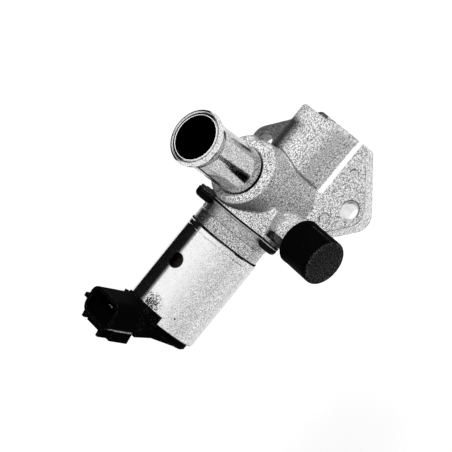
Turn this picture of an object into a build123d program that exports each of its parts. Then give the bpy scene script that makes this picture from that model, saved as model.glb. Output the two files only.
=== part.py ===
"""Idle air control valve, built as the real one is put together.

Frame, in millimetres: X along the solenoid towards its connector end, Y towards the capped side
port, Z up along the hose nipple. The origin lies on the mounting face, midway between the bolt holes.
"""
import os
from math import cos, radians, sin, tan

from build123d import *

os.makedirs("parts", exist_ok=True)

# Fits: pressed pieces, located pieces, the running stem and armature
press = 0.02
locate = 0.10
run_stem = 0.03
run_armature = 0.10

# Mounting flange
plate_t = 7.0
bolt_spacing = 58.0
bolt_hole_r = 3.5
bolt_chamfer = 0.6
ear_r = 6.8
ear_angle = 46.0
plate_half_x = 24.8
plate_corner_r = 3.0
plate_edge_r = 0.6

# Axes of the valve, the hose nipple and the side port
axis_z = 21.8
tube_x = 14.65
port_x = 22.4
port_z = 14.2

# Casting round the passages
block_end_x = -22.9
block_end_r = 1.6
block_r = 10.0
block_foot = 10.6
foot_fillet = 1.3
tower_x = 13.8
tower_foot_r = 15.6
tower_waist_r = 15.3
tower_waist_z = 30.0
tower_fillet = 2.6
tower_base_z = 2.0
tower_flare_start = 80.0
tower_flare_arc = 200.0
tower_top_r = 15.0
tower_top_z = 42.6
collar_chamfer = 1.0
joint_x = 30.0
neck_step = 0.9
neck_draft = 3.0
neck_bow = -1.0
neck_run = 6.0
lug_r = 4.25
lug_t = 1.2
lug_inset = 0.5
screw_offset = 2.0
web_y = 13.0
web_t = 4.6
web_l = 12.0
web_slope_l = 9.0
web_rise = 2.4
screw_r = 2.0
screw_tip_l = 0.4
tip_pocket_r = 3.0
tip_pocket_l = 3.2
port_boss_r = 8.0
spigot_start_y = 22.0
spigot_r = 6.9
spigot_end_y = 39.0
port_bore_r = 4.4
chamber_r = 11.5
chamber_x = 8.0
outlet_x = -9.0
outlet_r = 7.5
passage_r = 7.0
seat_t = 3.8
seat_r = 9.6
seat_land = 3.3
pin_mark_r = 2.2
pin_mark_depth = 0.25
pin_mark_a = (-12.5, 19.0)
pin_mark_b = (8.9, 21.3)
stub_r = 1.5
stub_l = 1.7
stub_up = 3.0
stub_side = 1.9

# Hose nipple
tube_r = 10.25
tube_wall = 1.1
tube_seat_z = 34.0
tube_mouth_z = 77.2
flare_r = 12.1
flare_h = 6.2
lip_h = 1.5
bell_h = 2.4

# Solenoid, along the valve axis
gasket_t = 0.5
flange_t = 5.8
ear_t = 0.7
flange_step = 0.2
pole_ring_t = 5.3
pole_step = 0.8
seal_t = 0.8
seal_depth = 0.6
can_r = 17.0
can_wall = 1.0
can_end_x = 84.9
can_lip_t = 0.9
can_lip_depth = 0.7
window_l = 17.1
window_r = 3.0
stroke = 4.0
armature_l = 15.0
stem_r = 2.5
armature_r = 7.5
sleeve_wall = 0.4
spool_wall = 1.2
winding_gap = 1.4

# Connector
connector_tilt = 14.0
connector_back = 1.5
mouth_s = 35.7
socket_floor_s = 20.5
shell_w = 18.3
shell_h = 12.8
shell_corner_r = 4.2
shell_wall = 1.2

# Blanking cap
cap_wall = 3.2
cap_end_t = 2.3

# Joint screws
head_h = 2.7
head_dome = 1.9
recess_l = 4.4
recess_w = 1.0
recess_depth = 1.5

# Inner pieces of the solenoid and the valve
bush_flange_t = 1.5
clip_t = 0.8
groove_r = 1.9
disc_hub_r = 4.0
disc_t = 2.0
seal_ring_t = 1.4
seat_washer_t = 0.8
wire_r = 0.6
spring_turns = 6.5
stop_t = 0.5
washer_t = 2.2
stud_r = 5.0
spool_t = 1.6

# Connector details
groove_w = 1.1
cover_groove_depth = 1.1
cover_rim_t = 2.7
cover_t = 3.3
latch_h = 3.8
rail_l = 5.0
rail_y = 5.15
rail_t = 1.4
low_rail_y = -6.45
low_rail_t = 1.5
low_rail_h = 1.9
latch_l = 10.4
key_h = 2.1
key_w = 1.8
key_l = 6.0
saddle_h = 1.6
saddle_l = 4.4
saddle_angle = 39.0
saddle_far_angle = 29.0
root_low = 12.0
terminal_y = 3.3
terminal_w = 2.4
terminal_t = 0.8
terminal_l = 7.0

# Stations that follow from the sizes above
can_in_r = can_r - can_wall
can_lip_r = can_in_r - can_lip_depth
pole_ring_r = can_r - pole_step
flange_r = can_r + flange_step
neck_end_r = can_r + neck_step
neck_root_r = neck_end_r - neck_draft
screw_circle_r = flange_r + screw_offset
head_r = lug_r - 0.05
screw_tip_x = joint_x - lug_t - screw_tip_l
flange_x = joint_x + gasket_t
pole_x = flange_x + flange_t
seal_x = pole_x + pole_ring_t
can_x = seal_x + seal_t
seal_in_r = can_in_r - seal_depth
seal_out_r = can_r - 0.4
crimp_x = can_x + 2.0
sleeve_x = can_x + 1.7
plate_end_x = can_x + 3.6
sleeve_in_r = armature_r + run_armature
sleeve_out_r = sleeve_in_r + sleeve_wall
spool_hub_r = sleeve_out_r + spool_wall
winding_r = can_in_r - winding_gap
flange_bore_r = armature_r + 0.5
bush_r = armature_r - 1.5
cover_x = can_end_x - can_lip_t - cover_rim_t
washer_x = cover_x - 0.1 - washer_t
groove_x = cover_x + 0.8
cover_groove_r = can_in_r - cover_groove_depth
cover_end_x = can_end_x + cover_t
window_x = can_x + window_l
armature_x = plate_end_x + 1.0
armature_end_x = armature_x + armature_l
stem_end_x = armature_end_x - 1.0
core_x = armature_end_x + stroke + 0.2 + stop_t
seat_bore_r = seat_r - seat_land
disc_x = chamber_x + seal_ring_t
disc_r = seat_r - 0.4
clip_x = chamber_x - 0.3
stem_x = clip_x - 1.7
spring_x = disc_x + disc_t + seat_washer_t
spring_r = bush_r
cap_r = spigot_r + cap_wall
cap_start_y = spigot_start_y + 2.0
cap_end_y = spigot_end_y + 0.2 + cap_end_t
connector_foot_x = can_end_x - connector_back
root_s = can_r + 2.0
root_half_w = shell_w / 2 - 0.65
latch_half_w = shell_w / 2 - 1.15
terminal_s = can_r - 3.0
terminal_tip_s = socket_floor_s + terminal_l
valve_axis = Axis((0, 0, axis_z), (1, 0, 0))
valve_plane = Plane(origin=(0, 0, axis_z), x_dir=(1, 0, 0), z_dir=(0, -1, 0))
tube_axis = Axis((tube_x, 0, 0), (0, 0, 1))
tower_axis = Axis((tower_x, 0, 0), (0, 0, 1))
tube_plane = Plane(origin=(tube_x, 0, 0), x_dir=(1, 0, 0), z_dir=(0, -1, 0))
tower_plane = Plane(origin=(tower_x, 0, 0), x_dir=(1, 0, 0), z_dir=(0, -1, 0))
port_axis = Axis((port_x, 0, port_z), (0, 1, 0))
port_plane = Plane(origin=(port_x, 0, port_z), x_dir=(0, 1, 0), z_dir=(1, 0, 0))


def across(x):
    """Plane across the valve axis at station x: local x is Y, local y is height over the axis."""
    return Plane(origin=(x, 0, axis_z), x_dir=(0, 1, 0), z_dir=(1, 0, 0))


# Valve body: one casting with flange, passage block, tower, neck, lugs and side spigot
with BuildPart() as valve_body:
    # arched block over the outlet, its blind end rounded, its foot flared into the plate
    with BuildSketch(across(block_end_x)):
        Circle(block_r)
        with BuildLine():
            Polyline(
                (-block_r, 0),
                (block_r, 0),
                (block_foot, plate_t / 2 - axis_z),
                (-block_foot, plate_t / 2 - axis_z),
                close=True,
            )
        make_face()
    extrude(amount=tube_x - block_end_x)
    fillet(valve_body.edges().group_by(Axis.X)[0], block_end_r)
    # flange plate with its two ears and clipped corners
    normal_x = cos(radians(ear_angle))
    normal_y = sin(radians(ear_angle))
    corner_x = plate_half_x - plate_corner_r
    reach = normal_y * bolt_spacing / 2 + ear_r - plate_corner_r
    corner_y = (reach - normal_x * corner_x) / normal_y
    with BuildSketch():
        with Locations((0, bolt_spacing / 2), (0, -bolt_spacing / 2)):
            Circle(ear_r)
        with Locations(
            (corner_x, corner_y), (-corner_x, corner_y), (-corner_x, -corner_y), (corner_x, -corner_y)
        ):
            Circle(plate_corner_r)
        make_hull()
    extrude(amount=plate_t)
    # flared foot of the block
    with BuildSketch(across(block_end_x + block_end_r)):
        foot = plate_t - axis_z
        wall = block_foot - 0.12
        with BuildLine():
            Line((wall - 1.0, foot), (wall + foot_fillet, foot))
            ThreePointArc(
                (wall + foot_fillet, foot),
                (wall + foot_fillet * 0.2929, foot + foot_fillet * 0.2929),
                (wall, foot + foot_fillet),
            )
            Line((wall, foot + foot_fillet), (wall - 1.0, foot))
        make_face()
        mirror(about=Plane.YZ)
    extrude(amount=tube_x - block_end_x - block_end_r)
    # tower under the hose nipple, a little off its axis, with draft and a chamfered collar
    with BuildSketch(tower_plane):
        with BuildLine():
            Polyline(
                (0, tower_base_z),
                (tower_foot_r - 1.0, tower_base_z),
                (tower_foot_r, tower_base_z + 1.0),
                (tower_foot_r, plate_t),
                (tower_waist_r, tower_waist_z),
                (tower_top_r, tower_top_z - collar_chamfer),
                (tower_top_r - collar_chamfer, tower_top_z),
                (0, tower_top_z),
                close=True,
            )
        make_face()
    revolve(axis=tower_axis)
    # flared foot of the tower, where it stands on the plate
    flare_plane = Plane(
        origin=(tower_x, 0, 0),
        x_dir=(cos(radians(tower_flare_start)), sin(radians(tower_flare_start)), 0),
        z_dir=(sin(radians(tower_flare_start)), -cos(radians(tower_flare_start)), 0),
    )
    tower_wall = tower_foot_r - 0.13
    with BuildSketch(flare_plane):
        with BuildLine():
            Line((tower_wall - 1.0, plate_t), (tower_wall + tower_fillet, plate_t))
            ThreePointArc(
                (tower_wall + tower_fillet, plate_t),
                (tower_wall + tower_fillet * 0.2929, plate_t + tower_fillet * 0.2929),
                (tower_wall, plate_t + tower_fillet),
            )
            Line((tower_wall, plate_t + tower_fillet), (tower_wall - 1.0, plate_t))
        make_face()
    revolve(axis=tower_axis, revolution_arc=tower_flare_arc)
    # neck to the solenoid joint
    with BuildSketch(valve_plane):
        with BuildLine():
            ThreePointArc(
                (joint_x, neck_end_r),
                ((joint_x + tube_x) / 2, (neck_end_r + neck_root_r) / 2 + neck_bow),
                (tube_x, neck_root_r),
            )
            Polyline(
                (tube_x, neck_root_r),
                (tube_x - neck_run, neck_root_r - 1.3),
                (tube_x - neck_run, 0),
                (joint_x, 0),
                (joint_x, neck_end_r),
            )
        make_face()
    revolve(axis=valve_axis)
    # three screw lugs on the joint face
    with BuildSketch(across(joint_x - lug_t)):
        with PolarLocations(screw_circle_r, 3):
            Circle(lug_r - lug_inset)
        with PolarLocations((screw_circle_r + chamber_r) / 2, 3):
            Rectangle(screw_circle_r - chamber_r, 2 * (lug_r - lug_inset))
    extrude(amount=lug_t)
    # web from the side lug back to the tower
    with BuildSketch(Plane(origin=(0, web_y, 0), x_dir=(1, 0, 0), z_dir=(0, -1, 0))):
        with BuildLine():
            Polyline(
                (joint_x, axis_z + 0.5),
                (joint_x, axis_z + lug_r),
                (joint_x - web_slope_l, axis_z + lug_r + web_rise),
                (joint_x - web_l, axis_z + lug_r + web_rise),
                (joint_x - web_l, axis_z + 0.5),
                close=True,
            )
        make_face()
    extrude(amount=-web_t)
    # side spigot
    with BuildSketch(port_plane):
        with BuildLine():
            Polyline(
                (0, 0),
                (spigot_end_y, 0),
                (spigot_end_y, spigot_r - 1.0),
                (spigot_end_y - 1.2, spigot_r),
                (spigot_start_y, spigot_r),
                (spigot_start_y, port_boss_r - 0.6),
                (spigot_start_y - 0.6, port_boss_r),
                (0, port_boss_r),
                close=True,
            )
        make_face()
    revolve(axis=port_axis)
    # nothing stands past the joint face
    with Locations((joint_x + tower_foot_r, 0, axis_z)):
        Box(2 * tower_foot_r, 2 * spigot_end_y, 2 * tower_top_z, mode=Mode.SUBTRACT)
    # relief behind the side lug, between it and the spigot boss
    with BuildSketch(across(joint_x - lug_t)):
        with Locations((screw_circle_r + 0.4, 0.4)):
            Circle(tip_pocket_r)
    extrude(amount=-tip_pocket_l, mode=Mode.SUBTRACT)
    # valve chamber, seat counterbore and passage
    with BuildSketch(valve_plane):
        with BuildLine():
            Polyline(
                (outlet_x, 0),
                (joint_x, 0),
                (joint_x, chamber_r + 0.6),
                (joint_x - 0.6, chamber_r),
                (chamber_x, chamber_r),
                (chamber_x, seat_r + press),
                (chamber_x - seat_t, seat_r + press),
                (chamber_x - seat_t, passage_r),
                (outlet_x, passage_r),
                close=True,
            )
        make_face()
    revolve(axis=valve_axis, mode=Mode.SUBTRACT)
    # outlet through the mounting face
    with BuildSketch():
        with Locations((outlet_x, 0)):
            Circle(outlet_r)
    extrude(amount=axis_z, mode=Mode.SUBTRACT)
    # bore for the hose nipple
    with BuildSketch(tube_plane):
        with BuildLine():
            Polyline(
                (0, axis_z),
                (tube_r - tube_wall, axis_z),
                (tube_r - tube_wall, tube_seat_z),
                (tube_r + press, tube_seat_z),
                (tube_r + press, tower_top_z - 0.6),
                (tube_r + press + 0.6, tower_top_z),
                (0, tower_top_z),
                close=True,
            )
        make_face()
    revolve(axis=tube_axis, mode=Mode.SUBTRACT)
    # side port
    with BuildSketch(port_plane):
        with BuildLine():
            Polyline((0, 0), (spigot_end_y, 0), (spigot_end_y, port_bore_r), (0, port_bore_r), close=True)
        make_face()
    revolve(axis=port_axis, mode=Mode.SUBTRACT)
    # screw holes, deep enough for the tips behind the lugs
    with BuildSketch(across(joint_x)):
        with PolarLocations(screw_circle_r, 3):
            Circle(screw_r + press)
    extrude(amount=screw_tip_x - 0.6 - joint_x, mode=Mode.SUBTRACT)
    # bolt holes
    with BuildSketch():
        with Locations((0, bolt_spacing / 2), (0, -bolt_spacing / 2)):
            Circle(bolt_hole_r)
    extrude(amount=plate_t, mode=Mode.SUBTRACT)
    with Locations(
        (0, bolt_spacing / 2, plate_t - bolt_chamfer / 2), (0, -bolt_spacing / 2, plate_t - bolt_chamfer / 2)
    ):
        Cone(bolt_hole_r, bolt_hole_r + bolt_chamfer, bolt_chamfer, mode=Mode.SUBTRACT)
    # round marks of the ejector pins, and the gate stub on the blind end
    with BuildSketch(Plane.XY.offset(plate_t - pin_mark_depth)):
        with Locations(pin_mark_a, pin_mark_b):
            Circle(pin_mark_r)
    extrude(amount=pin_mark_depth, mode=Mode.SUBTRACT)
    with BuildSketch(across(block_end_x + stub_l)):
        with Locations((stub_side, stub_up)):
            Circle(stub_r)
    extrude(amount=-2 * stub_l)
valve_body.part.label = "valve_body"
export_step(valve_body.part, "parts/valve_body.step")

# Hose nipple: steel tube pressed into the tower, its mouth flared for the hose
with BuildPart() as hose_nipple:
    with BuildSketch(tube_plane):
        with BuildLine():
            bore_r = tube_r - tube_wall
            step_r = tube_r + 0.45
            step_z = tube_mouth_z - flare_h
            lip_z = tube_mouth_z - lip_h
            bell_z = tube_mouth_z - bell_h
            mouth_r = flare_r - 1.2
            Polyline(
                (bore_r, bell_z), (bore_r, tube_seat_z), (tube_r, tube_seat_z), (tube_r, step_z), (step_r, step_z + 0.3)
            )
            ThreePointArc(
                (step_r, step_z + 0.3),
                ((step_r + flare_r) / 2 + 0.12, (step_z + 0.3 + lip_z) / 2),
                (flare_r, lip_z),
            )
            ThreePointArc(
                (flare_r, lip_z), (flare_r - 0.36, tube_mouth_z - 0.42), (mouth_r, tube_mouth_z)
            )
            ThreePointArc(
                (mouth_r, tube_mouth_z), (bore_r + 0.5, tube_mouth_z - 0.75), (bore_r, bell_z)
            )
        make_face()
    revolve(axis=tube_axis)
hose_nipple.part.label = "hose_nipple"
export_step(hose_nipple.part, "parts/hose_nipple.step")

# Blanking cap: rubber cap pushed over the side spigot
with BuildPart() as blanking_cap:
    with BuildSketch(port_plane):
        with BuildLine():
            Polyline(
                (cap_start_y, spigot_r + press),
                (cap_start_y, cap_r - 0.5),
                (cap_start_y + 0.5, cap_r),
                (cap_end_y - 1.0, cap_r),
                (cap_end_y - 0.3, cap_r - 0.3),
                (cap_end_y, cap_r - 1.0),
                (cap_end_y, 0),
                (spigot_end_y + 0.2, 0),
                (spigot_end_y + 0.2, spigot_r + press),
                close=True,
            )
        make_face()
    revolve(axis=port_axis)
blanking_cap.part.label = "blanking_cap"
export_step(blanking_cap.part, "parts/blanking_cap.step")

# Valve seat: ring pressed into the casting between chamber and outlet
with BuildPart() as valve_seat:
    with BuildSketch(valve_plane):
        with BuildLine():
            Polyline(
                (chamber_x - seat_t, seat_bore_r),
                (chamber_x - seat_t, seat_r),
                (chamber_x, seat_r),
                (chamber_x, seat_bore_r + 0.4),
                (chamber_x - 0.4, seat_bore_r),
                close=True,
            )
        make_face()
    revolve(axis=valve_axis)
valve_seat.part.label = "valve_seat"
export_step(valve_seat.part, "parts/valve_seat.step")

# Joint gasket between casting and solenoid
with BuildPart() as joint_gasket:
    with BuildSketch(across(joint_x)):
        Circle(flange_r)
        with PolarLocations(screw_circle_r, 3):
            Circle(lug_r)
        with PolarLocations((screw_circle_r + chamber_r) / 2, 3):
            Rectangle(screw_circle_r - chamber_r, 2 * lug_r)
        Circle(chamber_r + 0.6, mode=Mode.SUBTRACT)
        with PolarLocations(screw_circle_r, 3):
            Circle(screw_r + 0.25, mode=Mode.SUBTRACT)
    extrude(amount=gasket_t)
joint_gasket.part.label = "joint_gasket"
export_step(joint_gasket.part, "parts/joint_gasket.step")

# Solenoid flange: ring with three thin ears, scalloped beside the screw heads
with BuildPart() as solenoid_flange:
    with BuildSketch(valve_plane):
        with BuildLine():
            Polyline(
                (flange_x - 3.0, flange_bore_r),
                (flange_x - 3.0, chamber_r - locate - 0.4),
                (flange_x - 2.6, chamber_r - locate),
                (flange_x, chamber_r - locate),
                (flange_x, flange_r),
                (flange_x + ear_t, flange_r),
                (flange_x + ear_t + 0.6, pole_ring_r + 0.3),
                (pole_x - 0.25, pole_ring_r),
                (pole_x, pole_ring_r - 0.25),
                (pole_x, flange_bore_r),
                close=True,
            )
        make_face()
    revolve(axis=valve_axis)
    with BuildSketch(across(flange_x + ear_t)):
        with PolarLocations(screw_circle_r, 3):
            Circle(head_r + 0.4)
    extrude(amount=flange_t, mode=Mode.SUBTRACT)
    with BuildSketch(across(flange_x)):
        with PolarLocations(screw_circle_r, 3):
            Circle(lug_r)
        with PolarLocations((screw_circle_r + chamber_r) / 2, 3):
            Rectangle(screw_circle_r - chamber_r, 2 * lug_r)
        Circle(chamber_r, mode=Mode.SUBTRACT)
    extrude(amount=ear_t)
    with BuildSketch(across(flange_x)):
        with PolarLocations(screw_circle_r, 3):
            Circle(screw_r + 0.25)
    extrude(amount=ear_t, mode=Mode.SUBTRACT)
solenoid_flange.part.label = "solenoid_flange"
export_step(solenoid_flange.part, "parts/solenoid_flange.step")

# Joint screws: three pan heads with cross recesses, driven from the solenoid side
with BuildPart() as joint_screws:
    with BuildSketch(across(screw_tip_x)):
        with PolarLocations(screw_circle_r, 3):
            Circle(screw_r)
    extrude(amount=flange_x + ear_t - screw_tip_x)
    with BuildSketch(across(flange_x + ear_t)):
        with PolarLocations(screw_circle_r, 3):
            Circle(head_r)
    extrude(amount=head_h)
    fillet(joint_screws.edges().group_by(Axis.X)[-1], head_dome)
    chamfer(joint_screws.edges().group_by(Axis.X)[0], 0.5)
    with BuildSketch(across(flange_x + ear_t + head_h)):
        with PolarLocations(screw_circle_r, 3):
            Rectangle(recess_l, recess_w)
            Rectangle(recess_w, recess_l)
    extrude(amount=-recess_depth, mode=Mode.SUBTRACT)
joint_screws.part.label = "joint_screws"
export_step(joint_screws.part, "parts/joint_screws.step")

# Front pole plate: turned steel plate that closes the can and carries the guide bush
with BuildPart() as front_pole_plate:
    with BuildSketch(valve_plane):
        with BuildLine():
            Polyline(
                (pole_x, bush_r + press),
                (pole_x, pole_ring_r - 0.25),
                (pole_x + 0.25, pole_ring_r),
                (seal_x, pole_ring_r),
                (seal_x, seal_in_r),
                (can_x, seal_in_r),
                (can_x, can_in_r - locate),
                (plate_end_x, can_in_r - locate),
                (plate_end_x, sleeve_out_r + press),
                (sleeve_x, sleeve_out_r + press),
                (sleeve_x, bush_r + press),
                close=True,
            )
        make_face()
    revolve(axis=valve_axis)
front_pole_plate.part.label = "front_pole_plate"
export_step(front_pole_plate.part, "parts/front_pole_plate.step")

# Flange seal: black rubber ring in the groove in front of the can
with BuildPart() as flange_seal:
    with BuildSketch(valve_plane):
        with BuildLine():
            Polyline(
                (seal_x, seal_in_r + press),
                (seal_x, seal_out_r - 0.2),
                (seal_x + seal_t / 2, seal_out_r),
                (can_x, seal_out_r - 0.2),
                (can_x, seal_in_r + press),
                close=True,
            )
        make_face()
    revolve(axis=valve_axis)
flange_seal.part.label = "flange_seal"
export_step(flange_seal.part, "parts/flange_seal.step")

# Solenoid can: drawn steel cup, open to the front, its rear lip holding the cover, a round window on top
with BuildPart() as solenoid_can:
    with BuildSketch(valve_plane):
        with BuildLine():
            Polyline(
                (can_x, can_in_r),
                (can_x, can_r - 0.3),
                (can_x + 0.3, can_r),
                (crimp_x, can_r),
                (crimp_x + 0.25, can_r - 0.2),
                (crimp_x + 0.5, can_r),
                (can_end_x - 0.9, can_r),
                (can_end_x - 0.25, can_r - 0.25),
                (can_end_x, can_r - 0.9),
                (can_end_x, can_lip_r),
                (can_end_x - can_lip_t, can_lip_r),
                (can_end_x - can_lip_t, can_in_r),
                close=True,
            )
        make_face()
    revolve(axis=valve_axis)
    with BuildSketch(Plane.XY.offset(axis_z + can_in_r - 3)):
        with Locations((window_x, 0)):
            Circle(window_r)
    extrude(amount=can_wall + 6, mode=Mode.SUBTRACT)
solenoid_can.part.label = "solenoid_can"
export_step(solenoid_can.part, "parts/solenoid_can.step")

# Guide bush: flanged bronze bush the stem runs in, also the spring's fixed abutment
with BuildPart() as guide_bush:
    with BuildSketch(valve_plane):
        with BuildLine():
            Polyline(
                (pole_x - bush_flange_t, stem_r + run_stem),
                (pole_x - bush_flange_t, flange_bore_r - 0.3),
                (pole_x, flange_bore_r - 0.3),
                (pole_x, bush_r),
                (sleeve_x - 0.5, bush_r),
                (sleeve_x - 0.5, stem_r + run_stem),
                close=True,
            )
        make_face()
    revolve(axis=valve_axis)
guide_bush.part.label = "guide_bush"
export_step(guide_bush.part, "parts/guide_bush.step")

# Valve stem: steel rod from the valve disc to the armature, grooved for the clip
with BuildPart() as valve_stem:
    with BuildSketch(valve_plane):
        with BuildLine():
            Polyline(
                (stem_x, 0),
                (stem_x, stem_r - 0.5),
                (stem_x + 0.5, stem_r),
                (clip_x, stem_r),
                (clip_x, groove_r),
                (clip_x + clip_t, groove_r),
                (clip_x + clip_t, stem_r),
                (stem_end_x, stem_r),
                (stem_end_x, 0),
                close=True,
            )
        make_face()
    revolve(axis=valve_axis)
valve_stem.part.label = "valve_stem"
export_step(valve_stem.part, "parts/valve_stem.step")

# Valve disc: hubbed disc that closes the seat
with BuildPart() as valve_disc:
    with BuildSketch(valve_plane):
        with BuildLine():
            Polyline(
                (clip_x + clip_t, stem_r + press),
                (clip_x + clip_t, disc_hub_r),
                (disc_x, disc_hub_r),
                (disc_x, disc_r),
                (disc_x + disc_t - 0.5, disc_r),
                (disc_x + disc_t, disc_r - 0.5),
                (disc_x + disc_t, stem_r + press),
                close=True,
            )
        make_face()
    revolve(axis=valve_axis)
valve_disc.part.label = "valve_disc"
export_step(valve_disc.part, "parts/valve_disc.step")

# Disc seal: rubber ring on the disc's face, resting on the seat when the valve is shut
with BuildPart() as disc_seal:
    with BuildSketch(valve_plane):
        with BuildLine():
            Polyline(
                (chamber_x, seat_bore_r + 0.4),
                (chamber_x, seat_r - 0.7),
                (disc_x, seat_r - 0.6),
                (disc_x, seat_bore_r + 0.3),
                close=True,
            )
        make_face()
    revolve(axis=valve_axis)
disc_seal.part.label = "disc_seal"
export_step(disc_seal.part, "parts/disc_seal.step")

# Spring seat: cup washer behind the disc
with BuildPart() as spring_seat:
    with BuildSketch(valve_plane):
        with BuildLine():
            Polyline(
                (disc_x + disc_t, stem_r + press),
                (disc_x + disc_t, spring_r + 1.7),
                (spring_x + 1.0, spring_r + 1.7),
                (spring_x + 1.0, spring_r + 1.0),
                (spring_x, spring_r + 1.0),
                (spring_x, stem_r + press),
                close=True,
            )
        make_face()
    revolve(axis=valve_axis)
spring_seat.part.label = "spring_seat"
export_step(spring_seat.part, "parts/spring_seat.step")

# Retaining clip: open ring in the stem's groove, in front of the disc
with BuildPart() as retaining_clip:
    with BuildSketch(across(clip_x)):
        Circle(disc_hub_r)
        Circle(groove_r + press, mode=Mode.SUBTRACT)
        with Locations((0, -disc_hub_r / 2 - 0.5)):
            Rectangle(2.6, disc_hub_r + 1, mode=Mode.SUBTRACT)
    extrude(amount=clip_t)
retaining_clip.part.label = "retaining_clip"
export_step(retaining_clip.part, "parts/retaining_clip.step")

# Return spring: coil spring that shuts the valve, between spring seat and guide bush
spring_length = pole_x - bush_flange_t - spring_x
with BuildPart() as return_spring:
    with BuildLine() as coil:
        Helix(
            pitch=(spring_length - 2 * wire_r - 0.1) / spring_turns,
            height=spring_length - 2 * wire_r - 0.1,
            radius=spring_r,
            center=(spring_x + wire_r + 0.05, 0, axis_z),
            direction=(1, 0, 0),
        )
    with BuildSketch(Plane(origin=coil.line @ 0, z_dir=coil.line % 0)):
        Circle(wire_r)
    sweep(path=coil.line)
return_spring.part.label = "return_spring"
export_step(return_spring.part, "parts/return_spring.step")

# Armature: steel slug pressed on the stem, pulled towards the pole piece
with BuildPart() as armature:
    with BuildSketch(valve_plane):
        with BuildLine():
            Polyline(
                (armature_x, stem_r + press),
                (armature_x, armature_r - 0.4),
                (armature_x + 0.4, armature_r),
                (armature_end_x - 0.4, armature_r),
                (armature_end_x, armature_r - 0.4),
                (armature_end_x, stem_r + press),
                close=True,
            )
        make_face()
    revolve(axis=valve_axis)
    with BuildSketch(across(armature_x)):
        with PolarLocations(armature_r, 2):
            Circle(1.0)
    extrude(amount=armature_end_x - armature_x, mode=Mode.SUBTRACT)
armature.part.label = "armature"
export_step(armature.part, "parts/armature.step")

# Armature sleeve: thin non-magnetic tube that guides the armature
with BuildPart() as armature_sleeve:
    with BuildSketch(across(sleeve_x)):
        Circle(sleeve_out_r)
        Circle(sleeve_in_r, mode=Mode.SUBTRACT)
    extrude(amount=washer_x - sleeve_x)
armature_sleeve.part.label = "armature_sleeve"
export_step(armature_sleeve.part, "parts/armature_sleeve.step")

# Pole piece: fixed core behind the armature, riveted to the rear washer
with BuildPart() as pole_piece:
    with BuildSketch(across(core_x)):
        Circle(sleeve_in_r - press)
    extrude(amount=washer_x - core_x)
    with BuildSketch(across(washer_x)):
        Circle(stud_r)
    extrude(amount=washer_t)
pole_piece.part.label = "pole_piece"
export_step(pole_piece.part, "parts/pole_piece.step")

# Stop washer: brass washer that keeps the armature from sticking to the pole piece
with BuildPart() as stop_washer:
    with BuildSketch(across(core_x - stop_t)):
        Circle(sleeve_in_r - 0.5)
        Circle(stem_r + 0.6, mode=Mode.SUBTRACT)
    extrude(amount=stop_t)
stop_washer.part.label = "stop_washer"
export_step(stop_washer.part, "parts/stop_washer.step")

# Coil bobbin: plastic spool over the sleeve
with BuildPart() as coil_bobbin:
    with BuildSketch(valve_plane):
        with BuildLine():
            Polyline(
                (plate_end_x + 0.1, sleeve_out_r + 0.05),
                (plate_end_x + 0.1, can_in_r - 0.3),
                (plate_end_x + 0.1 + spool_t, can_in_r - 0.3),
                (plate_end_x + 0.1 + spool_t, spool_hub_r),
                (washer_x - 0.1 - spool_t, spool_hub_r),
                (washer_x - 0.1 - spool_t, can_in_r - 0.3),
                (washer_x - 0.1, can_in_r - 0.3),
                (washer_x - 0.1, sleeve_out_r + 0.05),
                close=True,
            )
        make_face()
    revolve(axis=valve_axis)
coil_bobbin.part.label = "coil_bobbin"
export_step(coil_bobbin.part, "parts/coil_bobbin.step")

# Coil winding: the enamelled copper wire, wound as one ring
with BuildPart() as coil_winding:
    with BuildSketch(across(plate_end_x + 0.15 + spool_t)):
        Circle(winding_r)
        Circle(spool_hub_r + press, mode=Mode.SUBTRACT)
    extrude(amount=washer_x - plate_end_x - 0.3 - 2 * spool_t)
coil_winding.part.label = "coil_winding"
export_step(coil_winding.part, "parts/coil_winding.step")

# Rear flux washer: steel disc that closes the magnetic path behind the coil
with BuildPart() as rear_flux_washer:
    with BuildSketch(across(washer_x)):
        Circle(can_in_r - locate)
        Circle(stud_r + press, mode=Mode.SUBTRACT)
    extrude(amount=washer_t)
rear_flux_washer.part.label = "rear_flux_washer"
export_step(rear_flux_washer.part, "parts/rear_flux_washer.step")

# Connector cover: one plastic moulding, end cover and plug socket in one piece
dir_x = sin(radians(connector_tilt))
dir_z = cos(radians(connector_tilt))


def along(s):
    """Plane across the connector at distance s from the valve axis: local x is Y, local y faces the body."""
    return Plane(
        origin=(connector_foot_x + s * dir_x, 0, axis_z + s * dir_z), x_dir=(0, 1, 0), z_dir=(dir_x, 0, dir_z)
    )


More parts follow.
